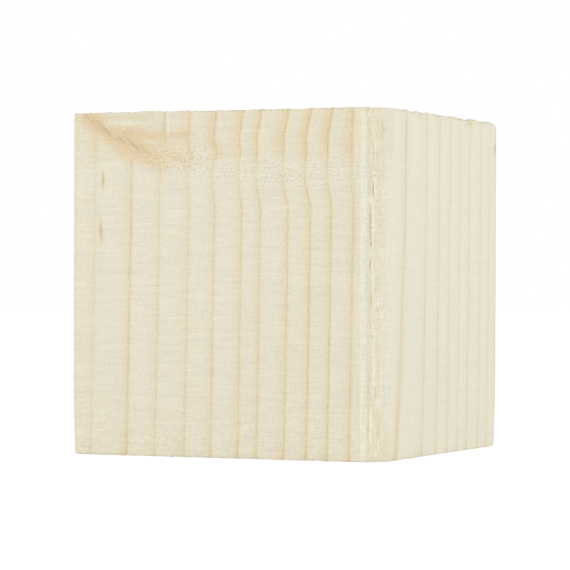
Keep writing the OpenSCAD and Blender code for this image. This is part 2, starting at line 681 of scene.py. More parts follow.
    def from_front(self, place: Place) -> Place:
        """Measures a point of the right face from its front side and down from the top end."""
        return Place(place.y + self.depth / 2, place.x, self.height - place.z)


@dataclass(frozen=True)
class Rings:
    """How dark the yearly rings are at a point, each from 0 to 1.

    They are the darkening towards a ring's end, the same where it starts early, the thin hard line
    there, and the bright first wood of the next year.
    """

    halo: Field
    rise: Field
    line: Field
    pale: Field


@dataclass(frozen=True)
class Timber:
    """How the tree grew, in mm: yearly rings round a pith that lay outside the block.

    The pith stood in front of the block and to its left, so the rings cross the section at about
    45 degrees. The block stands upside down to how the tree grew, so each ring widens upwards.
    """

    block: Block
    pith_x: float = -156.0
    pith_y: float = -178.0
    first_ring: float = 174.0
    yearly_growth: tuple[float, ...] = (
        5.5, 7.1, 5.7, 6.1, 5.4, 5.8, 3.9, 6.0, 4.9, 4.6, 4.8,
        7.7, 7.8, 9.4, 6.2, 5.5, 5.2, 5.0, 6.6, 4.9, 5.3,
    )
    darkness: tuple[float, ...] = (
        0.30, 0.30, 0.68, 0.44, 0.40, 0.52, 0.54, 0.60, 0.57, 0.74, 0.68, 0.62,
        0.14, 0.60, 0.45, 0.54, 0.48, 0.36, 0.42, 0.45, 0.39, 0.35,
    )
    darkness_held: Span = (0.4, 1.2)
    taper: float = 0.0126
    typical_radius: float = 215.0
    waves: tuple[Grain, ...] = (
        Grain((34.0, 34.0, 70.0), seed=3.0, detail=1.0, strength=0.12),
        Grain((5.0, 5.0, 9.0), seed=8.0, strength=0.07),
        Grain((1.1, 1.1, 2.0), seed=19.0, detail=1.0, strength=0.06),
    )
    bend: float = 1.35
    bend_across: Hump = (19.0, 25.0)
    bend_inwards: Span = (-26.0, -40.0)
    bend_reach: float = 27.0
    bend_record: tuple[tuple[float, float], ...] = (
        (0.0, 0.10), (3.0, 0.50), (7.0, 0.98), (10.5, 0.90), (15.0, 1.00),
        (19.0, 0.95), (22.0, 0.45), (25.0, 0.0), (27.0, 0.0),
    )
    steady_across: Span = (31.0, 36.5)
    steady_drop: Span = (27.0, 15.0)
    steady_bend: float = 0.75
    kink: float = 0.9
    kink_drop: Hump = (11.5, 1.8)
    kink_across: Hump = (-5.0, 9.0)
    flare: float = 2.7
    flare_height: Span = (60.0, 0.0)
    flare_inwards: Hump = (-30.0, 12.0)
    flare_across: Span = (36.0, 42.0)
    late_rise: Span = (0.50, 0.95)
    late_fall: Span = (0.16, 0.03)
    line_width: float = 0.036
    pale_rise: Span = (0.05, 0.11)
    pale_fall: Span = (0.34, 0.14)

    def radius(self, graph: Graph, place: Place) -> Field:
        """How far a point lay from the pith, with the trunk's taper and waves taken out."""
        across, deep = place.x - self.pith_x, place.y - self.pith_y
        radius = graph.math("SQRT", across * across + deep * deep)
        lean = (place.z - self.block.height / 2) * radius * (self.taper / self.typical_radius)
        slow, quick, ragged = (graph.noise(place, wave) for wave in self.waves)
        waves = slow + quick + ragged
        return radius - lean + waves + self._bend(graph, place) + self._flare(graph, place)

    def _bend(self, graph: Graph, place: Place) -> Field:
        """How far the rings bow outwards beside the knot."""
        drop = self.block.height - place.z
        points = [(depth / self.bend_reach, level) for depth, level in self.bend_record]
        level = graph.curve(drop / self.bend_reach, points)
        steady = graph.ramp_up(place.x, *self.steady_across)
        calm = steady * graph.ramp_up(drop, *self.steady_drop) * self.steady_bend
        level = level * (1.0 - steady) + calm
        bend = level * graph.bell(place.x, *self.bend_across) * self.bend
        kink = graph.bell(drop, *self.kink_drop) * graph.bell(place.x, *self.kink_across) * self.kink
        return (bend - kink) * graph.ramp_up(place.y, *self.bend_inwards)

    def _flare(self, graph: Graph, place: Place) -> Field:
        """How far the rings near the torn arris open out towards the foot."""
        low = graph.ramp_up(place.z, *self.flare_height, smooth=False)
        beside = graph.bell(place.y, *self.flare_inwards) * graph.ramp_up(place.x, *self.flare_across)
        return low * beside * self.flare

    def rings(self, graph: Graph, radius: Field) -> Rings:
        """Follows the yearly rings.

        Args:
            graph: The tree to build in.
            radius: How far the point lay from the pith.

        Returns:
            How dark the rings are there.
        """
        age = self._age(graph, radius)
        depth = self._depth(graph, age)
        share = graph.math("FRACT", age)
        rise = graph.ramp_up(share, *self.late_rise, smooth=False)
        fall = graph.ramp_up(share, *self.late_fall)
        halo = graph.math("MAXIMUM", rise * rise, fall)
        early = graph.math("MAXIMUM", rise, fall)
        line = graph.bell(graph.math("MINIMUM", share, 1.0 - share), 0.0, self.line_width)
        pale = graph.ramp_up(share, *self.pale_rise) * graph.ramp_up(share, *self.pale_fall)
        return Rings(halo * depth, early * depth, line * depth, pale * depth)

    def _age(self, graph: Graph, radius: Field) -> Field:
        """The years that a point had grown for: whole numbers where one year's ring ends."""
        edges = [0.0]
        for growth in self.yearly_growth:
            edges.append(edges[-1] + growth)
        years, reach = len(self.yearly_growth), edges[-1]
        points = [(edge / reach, year / years) for year, edge in enumerate(edges)]
        return graph.curve((radius - self.first_ring) / reach, points) * float(years)

    def _depth(self, graph: Graph, age: Field) -> Field:
        """How dark the nearest ring's end is, from 0 to 1."""
        years = float(len(self.darkness))
        points: list[tuple[float, float]] = []
        for year, depth in enumerate(self.darkness):
            points += [((year + held) / years, depth) for held in self.darkness_held]
        return graph.curve((age + 1.0) / years, points)


@dataclass(frozen=True)
class SpikeKnot:
    """The branch that was sawn along its length at the top left of the front face, in mm.

    Its strokes are measured from the left side of the face and down from the top end.
    """

    ridge: tuple[tuple[float, float], ...] = (
        (4.0, 1.0), (7.0, 2.6), (9.0, 4.1), (12.0, 6.8), (15.0, 7.9), (18.0, 8.8),
        (21.0, 10.4), (24.0, 12.2), (28.0, 13.4),
    )
    reach: float = 2.9
    thread: float = 0.32
    starts: Span = (2.6, 5.2)
    ends: Span = (29.5, 18.5)
    breaks: Grain = Grain((2.2, 2.2, 2.2), seed=91.0)
    broken: Span = (-0.55, 0.45)
    slope: float = 31.0
    lower_side: Span = (2.54, 0.74)
    right_end: Span = (26.9, 26.3)
    floor_drop: Span = (13.6, 12.6)
    border: Grain = Grain((5.0, 9.0, 5.0), seed=31.0, strength=0.5)
    depth: Span = (10.0, 5.0)
    seams: tuple[Streak, ...] = Streak.rows(
        (6.1, 2.4, 43, 2.2, 0.25, 0.55), (8.4, 2.9, 38, 2.1, 0.28, 0.55),
        (10.8, 5.2, 46, 1.9, 0.28, 0.7), (14.7, 7.1, 42, 1.2, 0.25, 0.6),
        (18.1, 8.5, 42, 2.3, 0.28, 0.75), (20.9, 9.4, 38, 1.3, 0.24, 0.55),
        (27.2, 3.3, 90, 3.4, 0.36, 0.62), (23, 11.3, 40, 1.6, 0.22, 0.45),
        (9.6, 17.9, 90, 2, 0.3, 0.95), (9.1, 31, 88, 2.2, 0.28, 0.75),
        (33.9, 14.5, 2, 0.9, 0.17, 0.8), (33, 13.2, -12, 0.6, 0.16, 0.6),
        (36.2, 13.9, 4, 0.7, 0.15, 0.6), (39.4, 12.8, -8, 0.7, 0.16, 0.65),
        (28.2, 14.6, 10, 0.8, 0.18, 0.55), (30.6, 12.2, 20, 0.5, 0.16, 0.45),
    )
    stains: tuple[Streak, ...] = Streak.rows(
        (8.4, 3.5, 36, 4.2, 0.55, 0.4), (12, 7, 30, 3.4, 0.5, 0.3), (18, 10.2, 32, 4, 0.6, 0.28),
        (17.5, 6.2, 10, 9, 3.6, 0.42), (21.5, 6.5, 0, 7, 1.3, 0.45), (26.2, 5.9, 0, 1.5, 1.1, 0.4),
        (32.9, 6.2, 0, 1.8, 1.4, 0.75), (29.8, 6.4, 0, 1.7, 0.9, 0.5),
        (17, 1.7, 0, 11.5, 0.75, 0.34), (6.4, 1.7, 24, 3.2, 1.6, 0.55),
        (3.6, 2.6, 40, 1.6, 1.4, 0.35), (17, 4.4, 0, 4.5, 0.4, 0.22), (22, 13, 22, 5, 1.6, 0.28),
        (30, 12.4, 0, 6, 2.6, 0.26), (41.3, 9, 52, 2.6, 1.2, 0.5), (43, 11.3, 20, 1.6, 1.3, 0.35),
        (9.5, 17.9, 90, 1.9, 0.8, 0.5), (9, 30.6, 88, 2.8, 0.6, 0.85), (2.9, 60, 90, 22, 0.3, 0.14),
        (26.3, 16.8, 84, 2.6, 0.6, 0.3), (7.2, 7.5, 90, 3.6, 0.5, 0.22),
        (27, 10.5, 25, 6, 3.4, 0.34), (16, 11.6, 25, 3, 1.4, 0.25), (2.4, 6.5, 90, 4.5, 0.7, 0.18),
    )
    lights: tuple[Streak, ...] = Streak.rows(
        (15.5, 2.9, 0, 4.5, 0.6, 0.45), (28.2, 3.6, 90, 3.4, 0.28, 0.6),
        (22.5, 7.9, 20, 2.6, 0.7, 0.3), (42, 16, 0, 1.2, 0.7, 0.4),
    )

    def band(self, graph: Graph, spot: Place) -> tuple[Field, Field]:
        """The knot's brown heart, which fades to both sides of its ridge, and its dark thread."""
        width = self.ridge[-1][0]
        points = [(along / width, drop / width) for along, drop in self.ridge]
        away = spot.z - graph.curve(spot.x / width, points) * width
        ends = graph.ramp_up(spot.x, *self.starts) * graph.ramp_up(spot.x, *self.ends)
        gappy = graph.ramp_up(graph.noise(spot, self.breaks), *self.broken)
        heart = graph.bell(away, 0.0, self.reach) * ends
        return heart, graph.bell(away, 0.0, self.thread) * gappy * ends

    def hold(self, graph: Graph, spot: Place) -> Field:
        """Where the knot hides the yearly rings: above its lower side and left of its root."""
        wave = graph.noise(spot, self.border)
        inside = graph.ramp_up(self.along(spot).z + wave, *self.lower_side)
        left = graph.ramp_up(spot.x, *self.right_end)
        above = graph.ramp_up(spot.z + wave, *self.floor_drop)
        return inside * left * above * self.front(graph, spot)

    def front(self, graph: Graph, spot: Place) -> Field:
        """How near the front face a point lies: 1 within the knot's depth."""
        return graph.ramp_up(spot.y, *self.depth)

    def along(self, spot: Place) -> Place:
        """Turns a point so that x runs along the knot and z across it."""
        turn = math.radians(self.slope)
        along = spot.x * math.cos(turn) + spot.z * math.sin(turn)
        aside = spot.z * math.cos(turn) - spot.x * math.sin(turn)
        return Place(along, spot.y, aside)


@dataclass(frozen=True)
class TornMarks:
    """What the torn grain is like at a point, each mostly from 0 to 1."""

    torn: Field
    crack: Field
    lip: Field
    chip: Field
    stain: Field
    flake: Field
    gap: Field

    def store(self, graph: GeometryGraph, geometry: Field) -> Field:
        """Keeps the marks on the mesh, each under its own name."""
        for name, value in vars(self).items():
            geometry = graph.store(geometry, name, value)
        return geometry

    @classmethod
    def read(cls, graph: ShaderGraph) -> "TornMarks":
        """Reads the marks that the mesh holds."""
        return cls(*(graph.attribute(mark.name) for mark in fields(cls)))


@dataclass(frozen=True)
class TornArris:
    """The near arris, where the planer tore the grain into shallow flakes, in mm.

    Its strokes are measured round the arris from the front face and down from the top end.
    """

    block: Block
    torn_from: Span = (1.780, 2.130)
    torn_to: Span = (6.388, 6.188)
    beside: Span = (2.5, 2.4)
    ragged_side: Grain = Grain((40.0, 40.0, 4.0), seed=41.0, detail=3.0, strength=0.22)
    far_side_share: float = 0.4
    wobble: Grain = Grain((50.0, 50.0, 1.8), seed=43.0, detail=3.0, roughness=0.65, strength=0.16)
    drift: Grain = Grain((3.0, 3.0, 12.0), seed=47.0, strength=0.35)
    flake_width: float = 0.75
    flake_length: float = 5.0
    flake_tilt: float = 0.9
    flake_middle: float = 0.45
    flake_edge: Span = (0.10, 0.0)
    splinter_width: float = 0.4
    splinter_length: float = 2.4
    splinter_share: float = 0.5
    splinter_edge: Span = (0.08, 0.0)
    splinter_edge_share: float = 0.4
    # Where the painted highlight beside each crack lies: a little further round the arris and lower.
    lip_offset: float = 0.34
    lip_lift: float = 0.17
    crack_depth: float = 0.15
    chip_height: float = 0.18
    flake_depth: float = 0.09
    groove_depth: float = 0.05
    rough: Grain = Grain((0.35, 0.35, 1.6), seed=7.0, strength=0.02)
    # Cracks, carved into the mesh and darkened with painted shade; the faint one 24 mm down paints only
    # the shade of the relief.
    cracks: tuple[Streak, ...] = Streak.rows(
        (1.25, 0.9, 80, 0.5, 0.28, 0.55), (2.3, 0.5, 90, 0.4, 0.25, 0.5),
        (3.1, 0.9, 70, 0.5, 0.25, 0.5), (4.8, 0.5, 90, 0.4, 0.3, 0.35),
        (2.3, 7.6, 90, 0.7, 0.16, 0.45), (3.3, 12, 90, 2.2, 0.14, 0.35),
        (2.25, 13.5, 90, 3, 0.12, 0.4), (3.55, 17.3, 40, 0.45, 0.22, 0.65),
        (3.2, 21, 89, 2, 0.17, 0.74), (2.5, 28, 91, 3.9, 0.27, 0.6), (2.6, 32.3, 88, 2, 0.22, 0.48),
        (2.6, 34.6, 95, 0.7, 0.3, 0.55), (2.5, 39.5, 90, 2.2, 0.2, 0.65),
        (2.6, 44.6, 90, 2.2, 0.24, 0.3), (2.7, 48, 88, 2, 0.18, 0.45),
        (4.7, 50.8, 118, 0.6, 0.28, 0.55), (4.5, 53.3, 100, 0.4, 0.28, 0.35),
        (2.5, 54.8, 86, 1.9, 0.2, 0.55), (3, 57.6, 50, 0.45, 0.25, 0.55),
        (2.5, 61, 80, 1.4, 0.2, 0.35), (4.7, 60.8, 90, 0.6, 0.25, 0.4),
        (2.3, 67, 90, 3.4, 0.16, 0.35), (3.85, 70.7, 90, 1, 0.16, 0.55),
        (2, 80, 90, 4.6, 0.18, 0.5), (2.45, 85.5, 90, 2.2, 0.28, 0.32),
        (4.5, 88.7, 0, 1.6, 0.5, 0.24), (1.8, 1.6, 90, 1.7, 0.45, 0.27),
        (5, 1.4, 90, 1.8, 1.2, 0.2), (3.2, 8.5, 90, 6, 0.2, 0.24), (3.9, 24.1, 90, 0.9, 0.38, 0.22),
        (5.5, 84.3, 90, 0.5, 0.24, 0.8), (5.4, 43.6, 20, 0.6, 0.16, 0.4),
        (0.95, 21.4, 75, 0.35, 0.2, 0.6),
    )
    chips: tuple[Streak, ...] = Streak.rows(
        (2.4, 23.8, 15, 1.1, 0.5, 0.7), (2.9, 23.3, 40, 0.8, 0.28, 0.6),
        (3.2, 16.7, 15, 0.6, 0.3, 0.8), (3.1, 18.2, 50, 0.6, 0.35, 0.8),
        (3.25, 28, 91, 3.7, 0.28, 0.62), (3.3, 32, 90, 2.4, 0.26, 0.6),
        (3.3, 42, 90, 4.6, 0.3, 0.42), (3, 39, 90, 2.6, 0.16, 0.35), (5.6, 52.1, 95, 1, 0.36, 0.8),
        (3.4, 56, 76, 1.7, 0.36, 0.65), (3.5, 63.6, 90, 4.6, 0.3, 0.65),
        (3.45, 69.3, 90, 2.2, 0.22, 0.8), (5.5, 66, 90, 0.9, 0.26, 0.5),
        (2.8, 79.5, 90, 5.2, 0.24, 0.6), (4.9, 84.7, 96, 1.4, 0.5, 0.9),
        (4.1, 86.8, 80, 0.9, 0.4, 0.6), (3.7, 49.2, 90, 2.4, 0.22, 0.5),
        (3.6, 17.8, 90, 2.8, 0.2, 0.4), (3.65, 9.5, 90, 6.5, 0.2, 0.32),
        (1.8, 28.5, 90, 4.6, 0.34, 0.21), (3.2, 51.5, 90, 2.8, 0.26, 0.38),
        (3.1, 60.5, 90, 1.8, 0.26, 0.38), (4.9, 5.5, 90, 2.2, 0.2, 0.35),
    )
    stains: tuple[Streak, ...] = Streak.rows(
        (5.6, 6, 90, 3.4, 0.55, 0.62), (5.8, 14, 90, 2.6, 0.5, 0.36),
        (2.3, 7.5, 90, 4.2, 0.42, 0.32), (2.6, 18.5, 90, 3, 0.45, 0.4),
        (3.2, 31.5, 90, 3, 0.6, 0.35), (2.7, 50.5, 90, 4.2, 0.6, 0.38),
        (2.2, 74, 90, 9, 0.45, 0.35), (4.6, 81, 90, 3, 0.7, 0.3), (2.1, 4, 90, 3.5, 0.3, 0.3),
        (2.05, 40, 90, 60, 0.42, 0.17), (4.7, 30, 90, 9, 0.35, 0.2), (7, 86, 90, 6.5, 1.8, 0.24),
    )

    def spot(self, graph: Graph, place: Place) -> Place:
        """Unrolls the arris: x runs round it from the front face, z runs down from the top end."""
        across, deep = self._from_axis(place)
        turn = graph.math("ARCTAN2", across, -deep)
        return Place(turn * self.block.torn_radius, place.y, self.block.height - place.z)

    def _from_axis(self, place: Place) -> tuple[Field, Field]:
        """How far to the right of the arris's own axis a point lies, and how far behind it."""
        aside = self.block.width / 2 - self.block.torn_radius
        ahead = self.block.torn_radius - self.block.depth / 2
        return place.x - aside, place.y - ahead

    def near(self, graph: Graph, place: Place) -> Field:
        """Whether a point lies on the arris or beside it, and not on a far face."""
        across, deep = self._from_axis(place)
        outside, inside = ((self.block.torn_radius + reach) ** 2 for reach in self.beside)
        return graph.ramp_up(across * across + deep * deep, outside, inside)

    def marks(self, graph: Graph, place: Place) -> TornMarks:
        """Follows the torn grain.

        Args:
            graph: The tree to build in.
            place: The point.

        Returns:
            What the grain is like there.
        """
        spot, near = self.spot(graph, place), self.near(graph, place)
        wave = graph.noise(place, self.ragged_side)
        start = graph.ramp_up(spot.x + wave, *self.torn_from)
        stop = graph.ramp_up(spot.x - wave * self.far_side_share, *self.torn_to)
        torn = start * stop * near
        shifted = Place(spot.x + graph.noise(place, self.wobble), spot.y, spot.z)
        beside = Place(shifted.x - self.lip_offset, spot.y, spot.z - self.lip_lift)
        drift = graph.noise(place, self.drift)
        chance, edge, along = graph.cells(
            spot.x / self.flake_width + drift, spot.z / -self.flake_length
        )
        small, small_edge, _ = graph.cells(
            spot.x / self.splinter_width + drift, spot.z / -self.splinter_length, seed=5.0
        )
        shingle = chance * graph.clamp(along * self.flake_tilt + self.flake_middle)
        gaps = graph.ramp_up(small_edge, *self.splinter_edge) * self.splinter_edge_share
        return TornMarks(
            torn=torn,
            crack=Streak.draw(graph, self.cracks, shifted) * near,
            # A painted highlight beside each crack, where its edge stands up; the lip is not carved.
            lip=Streak.draw(graph, self.cracks, beside) * near,
            chip=Streak.draw(graph, self.chips, shifted) * near,
            stain=Streak.draw(graph, self.stains, shifted) * near,
            flake=(shingle + small * self.splinter_share) * torn,
            gap=(graph.ramp_up(edge, *self.flake_edge) + gaps) * torn,
        )

    def hollow(self, graph: GeometryGraph, place: Place, marks: TornMarks) -> Field:
        """How deep the torn grain lies under the round arris.

        Args:
            graph: The tree to build in.
            place: The point.
            marks: What the grain is like there.

        Returns:
            The depth in mm, below 0 where a fibre stands proud.
        """
        flakes = marks.flake * graph.length("Flake depth", self.flake_depth)
        grooves = marks.gap * graph.length("Groove depth", self.groove_depth)
        opened = marks.crack * graph.length("Crack depth", self.crack_depth)
        raised = marks.chip * graph.length("Chip height", self.chip_height)
        return flakes + grooves + opened - raised + graph.noise(place, self.rough) * marks.torn


@dataclass(frozen=True)
class Regions:
    """Which part of the block a point lies in, each from 0 to 1.

    They are the wood grown before and after the middle years, and the wood above the knot.
    """

    inner: Field
    outer: Field
    over_knot: Field


@dataclass(frozen=True)
class Amount:
    """A share that differs over the block: the plain one, and what each region adds to it."""

    plain: float
    inner: float = 0.0
    outer: float = 0.0
    over_knot: float = 0.0

    def at(self, regions: Regions) -> Value:
        """The share at a point."""
        total: Value = self.plain
        for name, region in vars(regions).items():
            added = getattr(self, name)
            if added:
                total = total + region * added
        return total


@dataclass(frozen=True)
class RingWood:
    """The finish of the yearly rings, along the grain."""

    knot: SpikeKnot
    earlywood: Rgb = (228.3, 222.0, 201.8)
    outer_earlywood: Rgb = (231.6, 226.4, 206.9)
    top_earlywood: Rgb = (226.9, 219.8, 195.4)
    latewood: Rgb = (227.0, 211.5, 172.5)
    olive_latewood: Rgb = (225.0, 212.5, 171.0)
    top_latewood: Rgb = (226.0, 206.0, 166.0)
    outer_latewood: Rgb = (221.0, 209.0, 178.0)
    line: Rgb = (204.0, 187.0, 157.0)
    fresh_wood: Rgb = (232.0, 221.8, 193.5)
    front: Span = (9.0, 4.0)
    inner: Span = (202.0, 192.0)
    outer: Span = (233.0, 242.0)
    over_knot: Span = (15.0, 11.0)
    over_knot_border: Grain = Grain((5.0, 5.0, 40.0), seed=5.0, strength=0.8)
    beside_knot: Hump = (16.0, 4.5)
    beside_knot_loss: float = 0.35
    knot_loss: float = 0.92
    patches: Grain = Grain((2.5, 2.5, 14.0), seed=61.0, strength=0.22)
    breaks: Grain = Grain((1.5, 1.5, 1.3), seed=67.0, strength=0.55)
    threads: Grain = Grain((0.42, 90.0, 26.0), seed=97.0, detail=3.0, roughness=0.62)
    strips: Grain = Grain((1.9, 90.0, 60.0), seed=109.0)
    hue: Grain = Grain((6.0, 6.0, 11.0), seed=73.0, detail=1.0, strength=0.8)
    soaked_foot: Span = (4.5, 0.5)
    soaked: Amount = Amount(0.3, outer=0.5)
    broad_ring: Hump = (229.0, 3.5)
    broad_ring_share: float = 0.22
    broad_everywhere: float = 0.12
    broad_over_knot: float = 0.55
    late_share: Amount = Amount(1.07, inner=-0.24, outer=-0.44, over_knot=0.50)
    late_threads: float = 0.3
    line_share: Amount = Amount(0.61, outer=-0.04, over_knot=0.16)
    fresh_share: Amount = Amount(0.9, over_knot=0.6)
    fresh_loss: float = 0.7
    olive_share: Amount = Amount(0.5, over_knot=-0.6)
    top_early_share: float = 0.75
    top_late_share: float = 0.7
    outer_late_share: float = 0.65
    false_ring: Span = (0.35, 0.95)
    false_ring_share: float = 0.30
    thread_light: Amount = Amount(0.007, outer=-0.003)
    thread_blue: float = 0.012
    strip_warmth: Amount = Amount(0.004, outer=0.009)
    strip_green: float = 0.3
    strip_blue: float = 1.6

    def lay(self, graph: ShaderGraph, place: Place, spot: Place, radius: Field, rings: Rings) -> Field:
        """Colours the yearly rings.

        Args:
            graph: The material's tree.
            place: The point.
            spot: The point, measured from the left, the front and the top.
            radius: How far it lay from the pith.
            rings: How dark the rings are there.

        Returns:
            The colour.
        """
        front = graph.ramp_up(spot.y, *self.front)
        top = spot.z + graph.noise(place, self.over_knot_border)
        over_knot = graph.ramp_up(top, *self.over_knot) * front
        inner, outer = graph.ramp_up(radius, *self.inner), graph.ramp_up(radius, *self.outer)
        regions = Regions(inner, outer, over_knot)
        clear = 1.0 - self.knot.hold(graph, spot) * self.knot_loss
        grown = Place(radius, place.y, place.z)
        threads = graph.noise(grown, self.threads)
        strength = self._strength(graph, place, spot, regions) * clear
        band = self._band(graph, radius, rings, regions)
        late = band * strength * self.late_share.at(regions) * (1.0 + threads * self.late_threads)
        line = rings.line * strength * (1.0 + graph.noise(place, self.breaks))
        fresh = rings.pale * clear * self.fresh_share.at(regions) * (1.0 - outer * self.fresh_loss)
        wood = graph.mix(outer, linear(self.earlywood), linear(self.outer_earlywood))
        wood = graph.paint(over_knot * self.top_early_share, wood, self.top_earlywood)
        colour = graph.mix(late, wood, self._latewood(graph, place, regions))
        colour = graph.paint(fresh, colour, self.fresh_wood)
        colour = graph.paint(line * self.line_share.at(regions), colour, self.line)
        false_rings = graph.ramp_up(threads, *self.false_ring) * outer
        colour = graph.paint(false_rings * self.false_ring_share, colour, self.line)
        light = 1.0 + threads * self.thread_light.at(regions)
        warm = graph.noise(grown, self.strips) * self.strip_warmth.at(regions)
        blue = light + threads * self.thread_blue - warm * self.strip_blue
        return graph.shade(colour, light + warm, light - warm * self.strip_green, blue)

    def _strength(self, graph: ShaderGraph, place: Place, spot: Place, regions: Regions) -> Field:
        """How strongly the rings show: in patches, less beside the knot and more at the wet foot."""
        beside_knot = graph.bell(spot.z, *self.beside_knot) * graph.ramp_up(spot.y, *self.front)
        soaked = graph.ramp_up(place.z, *self.soaked_foot) * self.soaked.at(regions)
        patchy = 1.0 + graph.noise(place, self.patches)
        return patchy * (1.0 - beside_knot * self.beside_knot_loss) * (1.0 + soaked)

    def _band(self, graph: ShaderGraph, radius: Field, rings: Rings, regions: Regions) -> Field:
        """How dark the late wood is, which starts earlier over the knot and in one broad ring."""
        wide = regions.over_knot * self.broad_over_knot * (1.0 - regions.outer) + self.broad_everywhere
        wide = wide + graph.bell(radius, *self.broad_ring) * self.broad_ring_share
        return rings.halo * (1.0 - wide) + rings.rise * wide

    def _latewood(self, graph: ShaderGraph, place: Place, regions: Regions) -> Field:
        """The colour of the late wood, which is browner over the knot and greyer in the outer wood."""
        olive = graph.noise(place, self.hue) + self.olive_share.at(regions)
        late = graph.mix(olive, linear(self.latewood), linear(self.olive_latewood))
        late = graph.paint(regions.over_knot * self.top_late_share, late, self.top_latewood)
        return graph.paint(regions.outer * self.outer_late_share, late, self.outer_latewood)


@dataclass(frozen=True)
class KnotWood:
    """The finish of the spike knot: its brown heart, its seams and the rough grain beside it."""

    knot: SpikeKnot
    brown: Rgb = (223.0, 202.0, 163.5)
    seam: Rgb = (190.0, 162.0, 114.0)
    scuff: Rgb = (238.0, 234.0, 218.0)
    fibres: Grain = Grain((5.0, 0.7, 0.7), seed=17.0, detail=3.0, roughness=0.6)
    lumps: Grain = Grain((1.6, 1.6, 1.2), seed=79.0, strength=0.22)
    fibre_mottle: float = 0.34
    heart_share: float = 0.85
    stain_share: float = 1.1
    thread_share: float = 0.35
    seam_fibres: float = 0.4
    seam_share: float = 0.72
    dashes: Grain = Grain((0.95, 0.95, 0.45), seed=71.0, roughness=0.7)
    patch_across: Hump = (32.0, 10.0)
    patch_down: Hump = (12.0, 3.8)
    tail_across: Hump = (62.0, 24.0)
    tail_down: Hump = (16.5, 4.0)
    tail_share: float = 0.75
    dash_light: float = 0.17
    dark_dash: Span = (-0.30, -0.80)
    dark_dash_share: float = 0.55

    def lay(self, graph: ShaderGraph, spot: Place, wood: Field) -> Field:
        """Lays the knot over the rings.

        Args:
            graph: The material's tree.
            spot: The point, measured from the left, the front and the top.
            wood: The colour so far.

        Returns:
            The colour.
        """
        front = self.knot.front(graph, spot)
        fibres = graph.noise(self.knot.along(spot), self.fibres)
        mottle = 1.0 + fibres * self.fibre_mottle + graph.noise(spot, self.lumps)
        heart, thread = self.knot.band(graph, spot)
        stains, lights, seams = (
            Streak.draw(graph, strokes, spot)
            for strokes in (self.knot.stains, self.knot.lights, self.knot.seams)
        )
        brown = graph.clamp((heart * self.heart_share + stains * self.stain_share) * mottle)
        colour = graph.paint(brown * front, wood, self.brown)
        colour = graph.paint(lights * front, colour, self.scuff)
        seam = graph.clamp((seams + thread * self.thread_share) * (1.0 + fibres * self.seam_fibres))
        colour = graph.paint(seam * front * self.seam_share, colour, self.seam)
        patch = graph.bell(spot.x, *self.patch_across) * graph.bell(spot.z, *self.patch_down)
        tail = graph.bell(spot.x, *self.tail_across) * graph.bell(spot.z, *self.tail_down)
        torn = (patch + tail * self.tail_share) * front
        dash = graph.noise(spot, self.dashes)
        light = 1.0 + dash * torn * self.dash_light
        dark = graph.ramp_up(dash, *self.dark_dash) * torn * self.dark_dash_share
        return graph.paint(dark, graph.shade(colour, light, light, light), self.seam)


